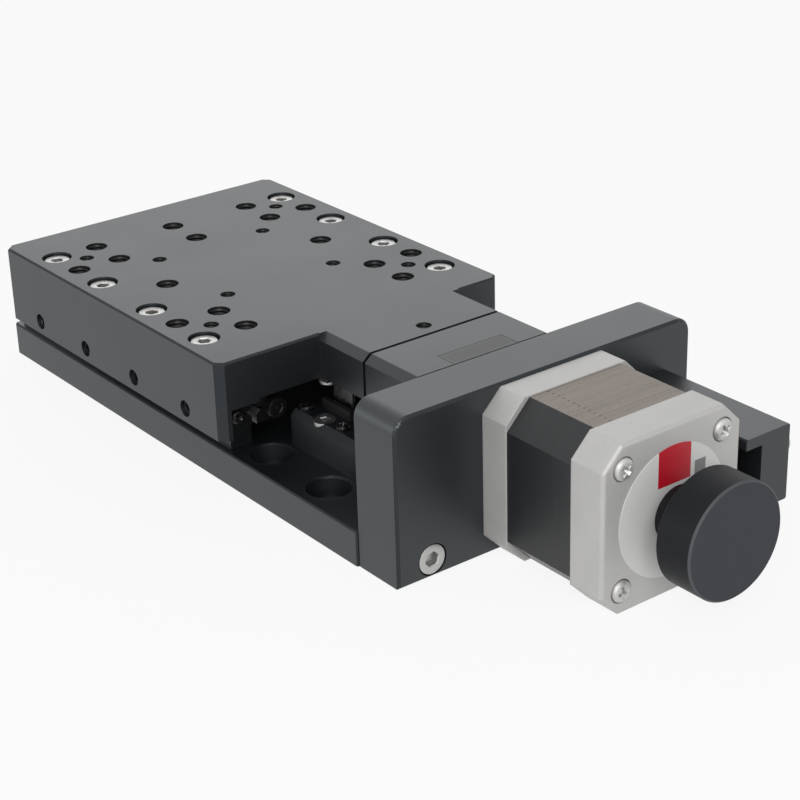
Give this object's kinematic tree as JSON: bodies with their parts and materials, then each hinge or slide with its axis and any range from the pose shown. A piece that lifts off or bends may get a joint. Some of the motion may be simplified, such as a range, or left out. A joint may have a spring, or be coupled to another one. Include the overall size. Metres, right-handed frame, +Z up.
{
  "type": "motorised linear translation stage",
  "caption": "Low crossed-roller translation stage with a drilled T-shaped table, lead screw drive, square stepper motor with rear hand knob and a side connector box.",
  "frame": {"origin": "on the underside of the base, below the centre of the table's hole pattern with the table at the motor end of its travel", "axes": "+X along the travel towards the motor, +Z up out of the table, +Y to the side that carries the connector box"},
  "size_m": [0.249, 0.1072, 0.0443],
  "materials": {
    "black_anodised": "satin black anodised, bead blasted",
    "stainless_screws": "bright stainless",
    "black_steel_screws": "black oxide",
    "rail_steel": "blackened bearing steel, ground races",
    "cage_brass": "satin",
    "nut_bronze": "turned",
    "bearing_steel": "ground",
    "lead_screw_steel": "rolled and ground",
    "coupling_aluminium": "turned",
    "coupling_plastic": "moulded",
    "motor_end_castings": "die cast, blasted",
    "motor_laminations": "stacked steel, black varnish",
    "motor_label": "printed film",
    "name_plate": "engraved black anodised",
    "knob_black": "turned, black anodised",
    "connector_plastic": "moulded",
    "connector_gold": "plated",
    "flag_steel": "sheet"
  },
  "bodies": {
    "frame": {"base": "black_anodised", "inner_rail_left": "rail_steel", "inner_rail_right": "rail_steel", "inner_rail_screws": "stainless_screws", "inner_rail_end_screws": "black_steel_screws", "motor_bracket": "black_anodised", "bracket_screws": "stainless_screws", "name_plate": "name_plate", "screw_bearing_outer_rings": "bearing_steel", "bearing_lock_ring": "lead_screw_steel", "end_bearing_block": "black_anodised", "end_block_screws": "stainless_screws", "motor_front_bell": "motor_end_castings", "motor_stator": "motor_laminations", "motor_rear_bell": "motor_end_castings", "motor_bolts": "stainless_screws", "motor_label": "motor_label", "motor_bearing_outer_rings": "bearing_steel", "connector_box": "black_anodised", "connector_box_side_screws": "stainless_screws", "connector_box_mount_screws": "stainless_screws", "connector_socket": "connector_plastic", "connector_pins": "connector_gold", "limit_block_front": "black_anodised", "limit_block_rear": "black_anodised", "limit_block_screws": "stainless_screws", "limit_cover_screws": "black_steel_screws", "limit_sensor_front": "connector_plastic", "limit_sensor_rear": "connector_plastic"},
    "carriage": {"carriage_table": "black_anodised", "table_screws": "stainless_screws", "preload_screws": "black_steel_screws", "outer_rail_left": "rail_steel", "outer_rail_right": "rail_steel", "outer_rail_end_screws": "black_steel_screws", "nut_holder": "black_anodised", "nut_holder_screws": "stainless_screws", "lead_nut": "nut_bronze", "limit_flag": "flag_steel", "limit_flag_screw": "stainless_screws"},
    "cage_left": {"roller_cage_left": "cage_brass", "rollers_left": "rail_steel"},
    "cage_right": {"roller_cage_right": "cage_brass", "rollers_right": "rail_steel"},
    "rotor": {"lead_screw": "lead_screw_steel", "screw_bearing_inner_rings": "bearing_steel", "screw_lock_nut": "lead_screw_steel", "coupling_screw_hub": "coupling_aluminium", "coupling_disc": "coupling_plastic", "coupling_motor_hub": "coupling_aluminium", "motor_shaft": "lead_screw_steel", "rotor_core": "motor_laminations", "motor_bearing_inner_rings": "bearing_steel", "knob": "knob_black", "knob_set_screw": "black_steel_screws"}
  },
  "joints": [
    {"name": "knob_turn", "type": "hinge", "parent": "frame", "child": "rotor", "pos_m": [0, 0.01627, 0.0219], "axis": [1, 0, 0], "range_deg": [0, 9000]},
    {"name": "carriage_slide", "type": "slide", "parent": "frame", "child": "carriage", "axis": [1, 0, 0], "range_m": [-0.05, 0]},
    {"name": "cage_left_slide", "type": "slide", "parent": "frame", "child": "cage_left", "axis": [1, 0, 0], "range_m": [-0.025, 0]},
    {"name": "cage_right_slide", "type": "slide", "parent": "frame", "child": "cage_right", "axis": [1, 0, 0], "range_m": [-0.025, 0]}
  ],
  "couplings": [
    {"joint": "knob_turn", "follows": "carriage_slide", "rad_per_m": -3141.6},
    {"joint": "cage_left_slide", "follows": "carriage_slide", "ratio": 0.5},
    {"joint": "cage_right_slide", "follows": "carriage_slide", "ratio": 0.5}
  ]
}
